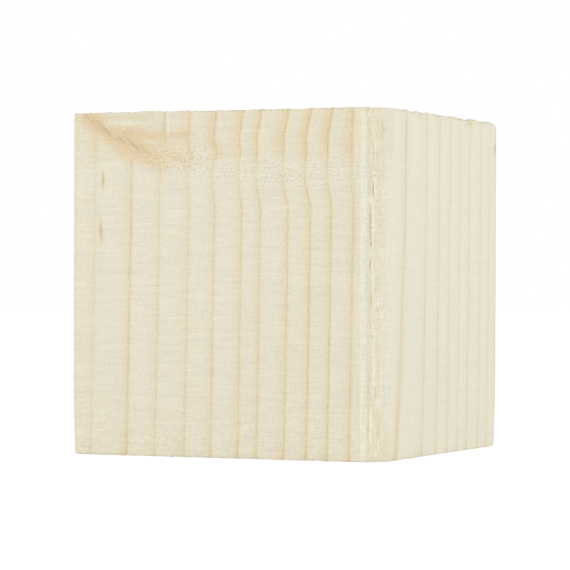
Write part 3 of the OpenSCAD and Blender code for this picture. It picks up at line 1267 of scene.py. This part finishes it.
@dataclass(frozen=True)
class TornWood:
    """The finish of the torn arris: its pale planed edge with a painted highlight, its cracks with
    painted shade, stains, and lifted fibres with painted highlights.
    """

    arris: TornArris
    # Pale planed wood, made paler still as a painted highlight where the arris starts to curve.
    planed_edge: Rgb = (236.0, 232.5, 211.8)
    round_wood: Rgb = (231.5, 228.5, 207.5)
    torn_wood: Rgb = (237.0, 230.5, 206.0)
    stained_wood: Rgb = (229.0, 207.0, 168.0)
    lifted_fibre: Rgb = (247.0, 239.0, 215.0)
    # Darker wood in the cracks, with painted shade where they open.
    crack: Rgb = (190.0, 168.0, 119.0)
    edge_starts: Span = (-0.2, 0.1)
    edge_ends: Span = (2.1, 0.8)
    edge_share: float = 0.8
    edge_fibres: float = 0.3
    round_side: Hump = (6.8, 1.0)
    round_share: float = 0.6
    torn_share: float = 0.85
    fibres: Grain = Grain((0.32, 0.32, 6.0), seed=83.0, detail=3.0, roughness=0.7)
    fibre_side: Span = (-0.22, 0.24)
    crisp_light: float = 0.055
    soft_light: float = 0.02
    fibres_around: Hump = (3.0, 4.5)
    threads: Grain = Grain((0.42, 0.42, 45.0), seed=113.0, strength=0.012)
    threads_around: Hump = (-4.6, 1.9)
    plain_light: float = 1.016
    outer_side: Span = (4.6, 6.0)
    outer_light: float = 0.006
    inner_side: Hump = (-0.9, 0.8)
    inner_shade: float = 0.008
    flake_light: float = 0.06
    gap_shade: float = 0.05
    lifted_chip: Span = (0.12, 0.42)
    lifted_lip: Span = (0.06, 0.34)
    lifted_share: float = 0.85
    opened: Span = (0.10, 0.55)
    opened_share: float = 0.58

    def lay(self, graph: ShaderGraph, place: Place, wood: Field) -> Field:
        """Lays the torn arris over the rings.

        Args:
            graph: The material's tree.
            place: The point.
            wood: The colour so far.

        Returns:
            The colour.
        """
        spot, near = self.arris.spot(graph, place), self.arris.near(graph, place)
        marks = TornMarks.read(graph)
        fibres = graph.noise(place, self.fibres)
        # Painted highlight over pale planed wood, along the start of the arris's curve.
        edge = graph.ramp_up(spot.x, *self.edge_starts) * graph.ramp_up(spot.x, *self.edge_ends)
        pale = edge * near * (self.edge_share + fibres * self.edge_fibres)
        colour = graph.paint(pale, wood, self.planed_edge)
        beside = graph.bell(spot.x, *self.round_side) * near * self.round_share
        colour = graph.paint(beside, colour, self.round_wood)
        colour = graph.paint(marks.torn * self.torn_share, colour, self.torn_wood)
        light = self._light(graph, place, spot, fibres, near, marks)
        colour = graph.shade(colour, light, light, light * 2.0 - 1.0)
        colour = graph.paint(marks.stain, colour, self.stained_wood)
        # Pale lifted fibres with a painted highlight: the chips stand up in the mesh, and the lips
        # beside the cracks are only painted.
        chips = graph.ramp_up(marks.chip, *self.lifted_chip)
        lip_highlights = graph.ramp_up(marks.lip, *self.lifted_lip)
        colour = graph.paint(graph.clamp(chips + lip_highlights) * self.lifted_share, colour, self.lifted_fibre)
        # Painted shade in the opened cracks, over their darker wood.
        opened = graph.ramp_up(marks.crack, *self.opened)
        return graph.paint(opened * self.opened_share, colour, self.crack)

    def _light(
        self, graph: ShaderGraph, place: Place, spot: Place, fibres: Field, near: Field, marks: TornMarks
    ) -> Field:
        """How light the arris is, around 1.

        Args:
            graph: The material's tree.
            place: The point.
            spot: The point, unrolled round the arris.
            fibres: The noise of its fibres.
            near: Whether the point lies on the arris or beside it.
            marks: What the torn grain is like there.

        Returns:
            The light.
        """
        outer = graph.ramp_up(spot.x, *self.outer_side) * marks.torn * self.outer_light
        inner = graph.bell(spot.x, *self.inner_side) * near * self.inner_shade
        threads = graph.noise(place, self.threads) * graph.bell(spot.x, *self.threads_around)
        crisp = graph.ramp_up(fibres, *self.fibre_side) - 0.5
        grain = crisp * self.crisp_light + fibres * self.soft_light
        light = self.plain_light + outer - inner + threads
        light = light + grain * (graph.bell(spot.x, *self.fibres_around) * near)
        return light + (0.5 - marks.flake) * marks.torn * self.flake_light - marks.gap * self.gap_shade


@dataclass(frozen=True)
class HandlingAndRimShade:
    """Small stains and knocks on the right face and its rims, dirt in the frayed top rim, and painted
    shade along the far rim of the right face and the left side of the front face, in mm.

    Its strokes are measured from the front side of the face and down from the top end.
    """

    block: Block
    scuffed: Rgb = (216.0, 209.0, 164.0)
    stained: Rgb = (225.0, 203.0, 163.0)
    # A bruise colour, also used for painted shade along the side rims.
    bruised: Rgb = (176.0, 160.0, 142.0)
    fuzz: Rgb = (198.0, 202.0, 191.0)
    scuffs: tuple[Streak, ...] = Streak.rows(
        (26, 0.6, 0, 1.6, 1.1, 0.55), (38, 0.7, 0, 1.4, 1.2, 0.6), (52, 0.4, 0, 1.6, 0.7, 0.4),
        (63.5, 0.9, 0, 2.6, 1.4, 0.75), (72, 0.3, 0, 5, 0.8, 0.5), (48, 0.1, 0, 34, 0.6, 0.22),
    )
    stains: tuple[Streak, ...] = Streak.rows(
        (12.4, 70, 98, 22, 1.6, 0.32), (9.6, 83, 96, 9, 1.6, 0.26), (4.5, 87, 0, 4.5, 6, 0.17),
        (85.2, 4.5, 90, 4, 0.7, 0.6), (85.3, 12, 90, 3, 0.5, 0.4),
    )
    # The first mark is a real bruise; the second, long one is painted shade along the far rim of the
    # right face.
    bruises: tuple[Streak, ...] = Streak.rows(
        (84.9, 7.3, 90, 1.7, 1.4, 0.58), (85.5, 40, 90, 75, 1.9, 0.14),
    )
    right_face: Span = (2.2, 1.6)
    ragged: Grain = Grain((1.4, 1.4, 1.4), seed=101.0, detail=3.0, roughness=0.7, strength=0.5)
    dirt: Grain = Grain((0.55, 0.55, 0.4), seed=103.0, roughness=0.7)
    dirty: Span = (-0.1, 0.7)
    rim: Span = (0.95, 0.35)
    rim_share: float = 0.38
    frayed_from: Span = (4.0, 5.0)
    frayed_to: Span = (28.0, 27.0)
    frayed_share: float = 0.42
    corners: tuple[Hump, ...] = ((3.6, 2.0), (13.0, 5.0))
    corner_share: float = 0.4
    left_line: Hump = (2.0, 0.5)
    left_line_share: float = 0.18
    left_side: Span = (2.6, 1.3)
    left_share: float = 0.14
    left_dirt: float = 0.03

    def lay(self, graph: ShaderGraph, place: Place, front: Field, wood: Field) -> Field:
        """Lays the marks of handling, and painted shade along the side rims, over the wood.

        Args:
            graph: The material's tree.
            place: The point.
            front: How near the front face it lies.
            wood: The colour so far.

        Returns:
            The colour.
        """
        face = graph.ramp_up(place.x, *(self.block.width / 2 - inside for inside in self.right_face))
        spot, there = self.block.from_left(place), self.block.from_front(place)
        ragged = 1.0 + graph.noise(place, self.ragged)
        finishes = (
            (self.scuffs, self.scuffed),
            (self.stains, self.stained),
            (self.bruises, self.bruised),
        )
        colour = wood
        for strokes, finish in finishes:
            colour = graph.paint(Streak.draw(graph, strokes, there) * face * ragged, colour, finish)
        dirt = graph.noise(place, self.dirt)
        colour = graph.paint(self._rim(graph, spot, dirt, front), colour, self.fuzz)
        line = graph.bell(spot.x, *self.left_line) * front * self.left_line_share
        colour = graph.paint(line, colour, self.stained)
        # Painted shade along the left side of the front face, by its eased arris, made patchy by the
        # dirt noise.
        worn = graph.ramp_up(spot.x, *self.left_side) * (self.left_share + dirt * self.left_dirt)
        return graph.paint(worn * front, colour, self.bruised)

    def _rim(self, graph: ShaderGraph, spot: Place, dirt: Field, front: Field) -> Field:
        """How much dirt the frayed top rim holds, most where it is frayed and near the right."""
        rim = graph.ramp_up(spot.z, *self.rim) * graph.ramp_up(dirt, *self.dirty)
        frayed = graph.ramp_up(spot.x, *self.frayed_from) * graph.ramp_up(spot.x, *self.frayed_to)
        first, second = (
            graph.bell(spot.x, self.block.width - inside, width) for inside, width in self.corners
        )
        more = frayed * self.frayed_share + (first + second) * self.corner_share
        return rim * (self.rim_share + more * front)


@dataclass(frozen=True)
class Softwood:
    """Bare planed softwood, one finish that is solid all through the block."""

    block: Block
    timber: Timber
    knot: SpikeKnot
    arris: TornArris
    end_earlywood: Rgb = (226.0, 214.0, 187.0)
    end_latewood: Rgb = (200.0, 174.0, 130.0)
    end_ring_share: float = 0.6
    end_facing: Span = (0.6, 0.85)
    fibres: Grain = Grain((0.45, 0.45, 8.0), seed=11.0, roughness=0.6)
    planer_marks: Grain = Grain((8.0, 8.0, 0.62), seed=23.0, roughness=0.7)
    pores: Grain = Grain((0.60, 0.60, 0.45), seed=37.0, detail=1.0, roughness=0.6, strength=0.071)
    saw_marks: Grain = Grain((22.0, 0.7, 22.0), seed=29.0, detail=3.0, roughness=0.65)
    cloud: Grain = Grain((12.0, 12.0, 22.0), seed=2.0, strength=0.005)
    tint: Grain = Grain((2.4, 2.4, 6.0), seed=53.0, detail=1.0)
    fibre_light: float = 0.018
    planer_light: float = 0.052
    saw_light: float = 0.024
    side_light: float = 0.55
    front_light: float = 0.45
    foot_light: float = 0.010
    right_foot_light: float = 0.007
    tint_red: float = 0.004
    tint_blue: float = 0.010
    fibre_height: float = 0.010
    planer_height: float = 0.008
    saw_height: float = 0.03
    ring_height: float = 0.02
    roughness: float = 0.62
    specular: float = 0.3

    def build(self) -> bpy.types.Material:
        """Builds the material."""
        material = bpy.data.materials.new("bare_planed_softwood")
        graph = ShaderGraph(material)
        place, facing = graph.place(), graph.facing()
        spot = self.block.from_left(place)
        radius = self.timber.radius(graph, place)
        rings = self.timber.rings(graph, radius)
        side = RingWood(self.knot).lay(graph, place, spot, radius, rings)
        side = KnotWood(self.knot).lay(graph, spot, side)
        side = TornWood(self.arris).lay(graph, place, side)
        side = HandlingAndRimShade(self.block).lay(graph, place, self.knot.front(graph, spot), side)
        cut = graph.mix(
            (rings.halo + rings.line) * self.end_ring_share,
            linear(self.end_earlywood),
            linear(self.end_latewood),
        )
        end = graph.ramp_up(abs(facing.z), *self.end_facing)
        fibres = graph.noise(place, self.fibres)
        planed = graph.noise(place, self.planer_marks)
        sawn = graph.noise(place, self.saw_marks) * end
        grain = fibres * self.fibre_light + planed * self.planer_light + graph.noise(place, self.pores)
        light = 1.0 + grain * (self.side_light + abs(facing.y) * self.front_light)
        # The foot term is painted light that offsets the shade near the floor.
        light = light + graph.noise(place, self.cloud) + self._foot(graph, place, facing)
        light = light + sawn * self.saw_light
        tint = graph.noise(place, self.tint)
        red, blue = light + tint * self.tint_red, light - tint * self.tint_blue
        colour = graph.shade(graph.mix(end, side, cut), red, light, blue)

        along = (fibres * self.fibre_height + planed * self.planer_height) * (1.0 - end)
        height = along + sawn * self.saw_height + rings.halo * self.ring_height
        bump = graph.add("ShaderNodeBump", inputs={"Strength": 1.0, "Distance": MM, "Height": height})
        shader = graph.add(
            "ShaderNodeBsdfPrincipled",
            inputs={
                "Base Color": colour,
                "Roughness": self.roughness,
                "Specular IOR Level": self.specular,
                "Normal": graph.out(bump),
            },
        )
        graph.add("ShaderNodeOutputMaterial", inputs={"Surface": graph.out(shader)})
        return material

    def _foot(self, graph: ShaderGraph, place: Place, facing: Place) -> Field:
        """Painted light: how much lighter the wood is painted towards the foot, most on the right face,
        to offset the shade near the floor.
        """
        foot = graph.ramp_up(place.z, self.block.foot_height, 0.0)
        return foot * (self.foot_light + abs(facing.x) * self.right_foot_light)


@dataclass(frozen=True)
class Relief:
    """What the planer and the saw left on the smooth blank, in mm."""

    block: Block
    timber: Timber
    arris: TornArris
    probe: float = 1.5
    deepest_cut: float = 1.4
    cut_share: float = 0.12
    rim_height: float = 0.9
    rim_fuzz: float = 0.17
    rim_steps: float = 0.10
    rim_lumps: float = 0.30
    rim_calm: float = 0.6
    foot_share: float = 0.6
    foot_rise: float = 0.4
    frayed: Grain = Grain((1.1, 1.1, 1.1), seed=13.0, detail=3.0, roughness=0.7)
    least_fray: float = 0.1
    lumpy: Grain = Grain((2.6, 4.6, 3.6), seed=107.0, roughness=0.6)
    lump_swing: float = 0.55
    lump_drop: float = 0.27
    right_face: Span = (4.0, 1.0)
    right_swing: float = 1.05
    right_drop: float = 0.12
    lump_calm: float = 0.8
    highest_lump: float = 0.10
    worn_corner: float = 1.5
    worn_height: float = 4.0
    worn_across: float = 2.4
    worn_inset: float = 0.8
    worn_deep: float = 2.2
    shoulder: Span = (9.0, 1.5)

    def carve(self, cad: bpy.types.Object, material: bpy.types.Material) -> bpy.types.Mesh:
        """Works the blank into the finished surface.

        Args:
            cad: The solid from the frame, whose cuts the surface follows.
            material: The finish.

        Returns:
            The finished mesh.
        """
        graph = GeometryGraph("planer_and_saw")
        solid = graph.input("Solid", "NodeSocketObject", cad)
        place = graph.place()
        normal = graph.out(graph.add("GeometryNodeInputNormal"))
        marks, near = self.arris.marks(graph, place), self.arris.near(graph, place)
        geometry = marks.store(graph, graph.geometry)
        cut = self._cut(graph, solid, normal) * (1.0 - near * (1.0 - self.cut_share))
        fray, drop = self._rims(graph, place, near)
        inward = (cut + self.arris.hollow(graph, place, marks) + fray) * -MM
        lowered = graph.vector(0.0, 0.0, drop * -MM)
        offset = graph.vectors("ADD", graph.scaled(normal, inward), lowered)
        moved = graph.add("GeometryNodeSetPosition", inputs={"Geometry": geometry, "Offset": offset})
        return graph.run(self.block.blank(), graph.out(moved), material)

    def _rims(self, graph: GeometryGraph, place: Place, near: Field) -> tuple[Field, Field]:
        """How the saw frayed the rims of the ends.

        Args:
            graph: The tree to build in.
            place: The point.
            near: Whether it lies on the torn arris or beside it.

        Returns:
            How far the sides stand in at a rim, and how far the top end lies too low, in mm.
        """
        fuzz = graph.length("Rim fuzz", self.rim_fuzz)
        steps = graph.length("Rim steps", self.rim_steps)
        rim = graph.ramp_up(place.z, self.block.height - self.rim_height, self.block.height)
        foot = graph.ramp_up(place.z, self.rim_height, 0.0)
        shoulder = self._shoulder(graph, place)
        frayed = graph.noise(place, self.frayed)
        fray = (rim + foot * self.foot_share) * (frayed * fuzz + fuzz) * shoulder
        rings = self.timber.rings(graph, self.timber.radius(graph, place))
        crumbs = (1.0 - rings.halo) * steps + frayed * fuzz + fuzz * self.least_fray
        crumbs = (rim - foot * self.foot_rise) * crumbs * (1.0 - near * self.rim_calm)
        return fray, (self._uneven(graph, place, near) + crumbs) * shoulder

    def _uneven(self, graph: GeometryGraph, place: Place, near: Field) -> Field:
        """How far the top end lies too low where the saw ran unevenly and the far corner is worn."""
        lumps = graph.length("Rim lumps", self.rim_lumps)
        corner = graph.length("Worn corner", self.worn_corner)
        half_width, half_depth = self.block.width / 2, self.block.depth / 2
        right = graph.ramp_up(place.x, *(half_width - inside for inside in self.right_face))
        swing = graph.noise(place, self.lumpy) * lumps * (self.lump_swing + right * self.right_swing)
        uneven = swing + lumps * (self.lump_drop + right * self.right_drop)
        uneven = graph.math("MAXIMUM", uneven * (1.0 - near * self.lump_calm), -self.highest_lump)
        worn = graph.bell(place.x, half_width, self.worn_across)
        worn = worn * graph.bell(place.y, half_depth - self.worn_inset, self.worn_deep)
        end = graph.ramp_up(place.z, self.block.height - self.worn_height, self.block.height)
        return end * (worn * corner + uneven)

    def _shoulder(self, graph: GeometryGraph, place: Place) -> Field:
        """How near the rim of an end a point lies: 0 on the flat middle and 1 at the rim."""
        across, deep = (
            graph.ramp_up(abs(away), *(size / 2 - inside for inside in self.shoulder))
            for away, size in ((place.x, self.block.width), (place.y, self.block.depth))
        )
        return graph.math("MAXIMUM", across, deep)

    def _cut(self, graph: GeometryGraph, solid: Field, normal: Field) -> Field:
        """How deep the solid's own cuts go at a point, in mm."""
        form = graph.out(graph.add("GeometryNodeObjectInfo", inputs={"Object": solid}), "Geometry")
        here = graph.out(graph.add("GeometryNodeInputPosition"))
        ray = graph.add(
            "GeometryNodeRaycast",
            inputs={
                "Target Geometry": form,
                "Source Position": graph.vectors("ADD", here, graph.scaled(normal, self.probe * MM)),
                "Ray Direction": graph.scaled(normal, -1.0),
                "Ray Length": (self.probe + self.deepest_cut) * MM,
            },
        )
        deep = graph.out(ray, "Hit Distance") / MM - self.probe
        return graph.math("MAXIMUM", deep, 0.0) * graph.out(ray, "Is Hit")


@dataclass(frozen=True)
class Softbox:
    """One large soft lamp that faces the block, by its place in metres and its power in watts.

    The azimuth goes round from the front, towards the right, in degrees.
    """

    name: str
    azimuth: float
    height: float
    power: float
    far: float = 1.3
    size: float = 0.8

    def hang(self, aim: Vector) -> None:
        """Hangs the lamp, so that it faces a point."""
        data = bpy.data.lights.new(self.name, "AREA")
        data.shape = "SQUARE"
        data.size = self.size
        data.energy = self.power
        lamp = bpy.data.objects.new(self.name, data)
        turn = math.radians(self.azimuth)
        lamp.location = (self.far * math.sin(turn), -self.far * math.cos(turn), self.height)
        lamp.rotation_euler = (aim - lamp.location).to_track_quat("-Z", "Y").to_euler()
        bpy.context.scene.collection.objects.link(lamp)


@dataclass(frozen=True)
class Studio:
    """The plain pale floor, the soft light and the camera, with angles in degrees."""

    block: Block
    azimuth: float = 23.173
    pitch: float = 0.17
    roll: float = 0.181
    distance: float = 813.5
    aside: float = -1.402
    above: float = 2.062
    lens: float = 191.81
    sensor: float = 36.0
    clip: Span = (0.01, 50.0)
    ambient: float = 0.832
    floor_side: float = 6.0
    floor_white: float = 0.97
    shadow_white: float = 0.22
    floor_glow: float = 0.86
    lamps: tuple[Softbox, ...] = (
        Softbox("left_softbox", azimuth=-48.0, height=0.55, power=4.0),
        Softbox("right_softbox", azimuth=105.0, height=0.5, power=2.7),
    )

    def camera(self) -> None:
        """Places the camera at mid-height, a little to the right, with a long lens."""
        data = bpy.data.cameras.new("camera")
        data.lens = self.lens
        data.sensor_width = self.sensor
        data.clip_start, data.clip_end = self.clip
        camera = bpy.data.objects.new("camera", data)
        turn = Matrix.Rotation(math.radians(self.azimuth), 4, "Z")
        tilt = Matrix.Rotation(math.radians(90.0 - self.pitch), 4, "X")
        lean = Matrix.Rotation(math.radians(self.roll), 4, "Z")
        height = Vector((0.0, 0.0, self.block.height / 2 + self.above))
        stand = turn @ Vector((self.aside, -self.distance, 0.0)) + height
        camera.matrix_world = Matrix.Translation(stand * MM) @ turn @ tilt @ lean
        bpy.context.scene.collection.objects.link(camera)
        bpy.context.scene.camera = camera

    def floor(self) -> None:
        """Lays a wide white floor, which glows where it is seen and keeps the block's shadow."""
        half = self.floor_side / 2
        mesh = bpy.data.meshes.new("floor")
        corners = [(-half, -half, 0.0), (half, -half, 0.0), (half, half, 0.0), (-half, half, 0.0)]
        mesh.from_pydata(corners, [], [(0, 1, 2, 3)])
        floor = bpy.data.objects.new("floor", mesh)
        material = bpy.data.materials.new("white_floor")
        graph = ShaderGraph(material)
        matt, shadow = (
            graph.out(graph.add("ShaderNodeBsdfDiffuse", inputs={"Color": (white, white, white, 1.0)}))
            for white in (self.floor_white, self.shadow_white)
        )
        glow = graph.add("ShaderNodeEmission", inputs={"Color": WHITE, "Strength": self.floor_glow})
        lit = graph.add("ShaderNodeAddShader", inputs={0: shadow, 1: graph.out(glow)})
        share = graph.add("ShaderNodeMixShader", inputs={0: graph.seen(), 1: matt, 2: graph.out(lit)})
        graph.add("ShaderNodeOutputMaterial", inputs={"Surface": graph.out(share)})
        mesh.materials.append(material)
        bpy.context.scene.collection.objects.link(floor)

    def world(self) -> None:
        """Lights the block evenly from all round, in front of a white backdrop."""
        world = bpy.data.worlds.new("soft_daylight")
        graph = ShaderGraph(world)
        strength = graph.seen() * (1.0 - self.ambient) + self.ambient
        sky = graph.add("ShaderNodeBackground", inputs={"Color": WHITE, "Strength": strength})
        graph.add("ShaderNodeOutputWorld", inputs={"Surface": graph.out(sky)})
        bpy.context.scene.world = world

    def build(self) -> None:
        """Sets the whole studio up."""
        self.camera()
        self.floor()
        self.world()
        for lamp in self.lamps:
            lamp.hang(Vector((0.0, 0.0, self.block.height / 2 * MM)))
        bpy.context.scene.view_settings.view_transform = "Standard"


def finish_block(block: Block) -> bpy.types.Object:
    """Builds the dressed block in place of the CAD solid."""
    timber, arris = Timber(block), TornArris(block)
    material = Softwood(block, timber, SpikeKnot(), arris).build()
    mesh = Relief(block, timber, arris).carve(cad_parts[NODE], material)
    mesh.name = "planed_block"
    piece = bpy.data.objects.new("planed_block", mesh)
    bpy.context.scene.collection.objects.link(piece)
    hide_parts(NODE)
    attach(piece, BODY)
    return piece


def main() -> None:
    """Builds the block and the studio, and reports the sizes."""
    logging.basicConfig(level=logging.INFO, format="%(name)s: %(message)s")
    block = Block.from_box(*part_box(NODE))
    Studio(block).build()
    piece = finish_block(block)
    mesh = piece.data
    mesh.calc_loop_triangles()
    LOG.info("%s: %d triangles", piece.name, len(mesh.loop_triangles))


if __name__ == "__main__":
    main()
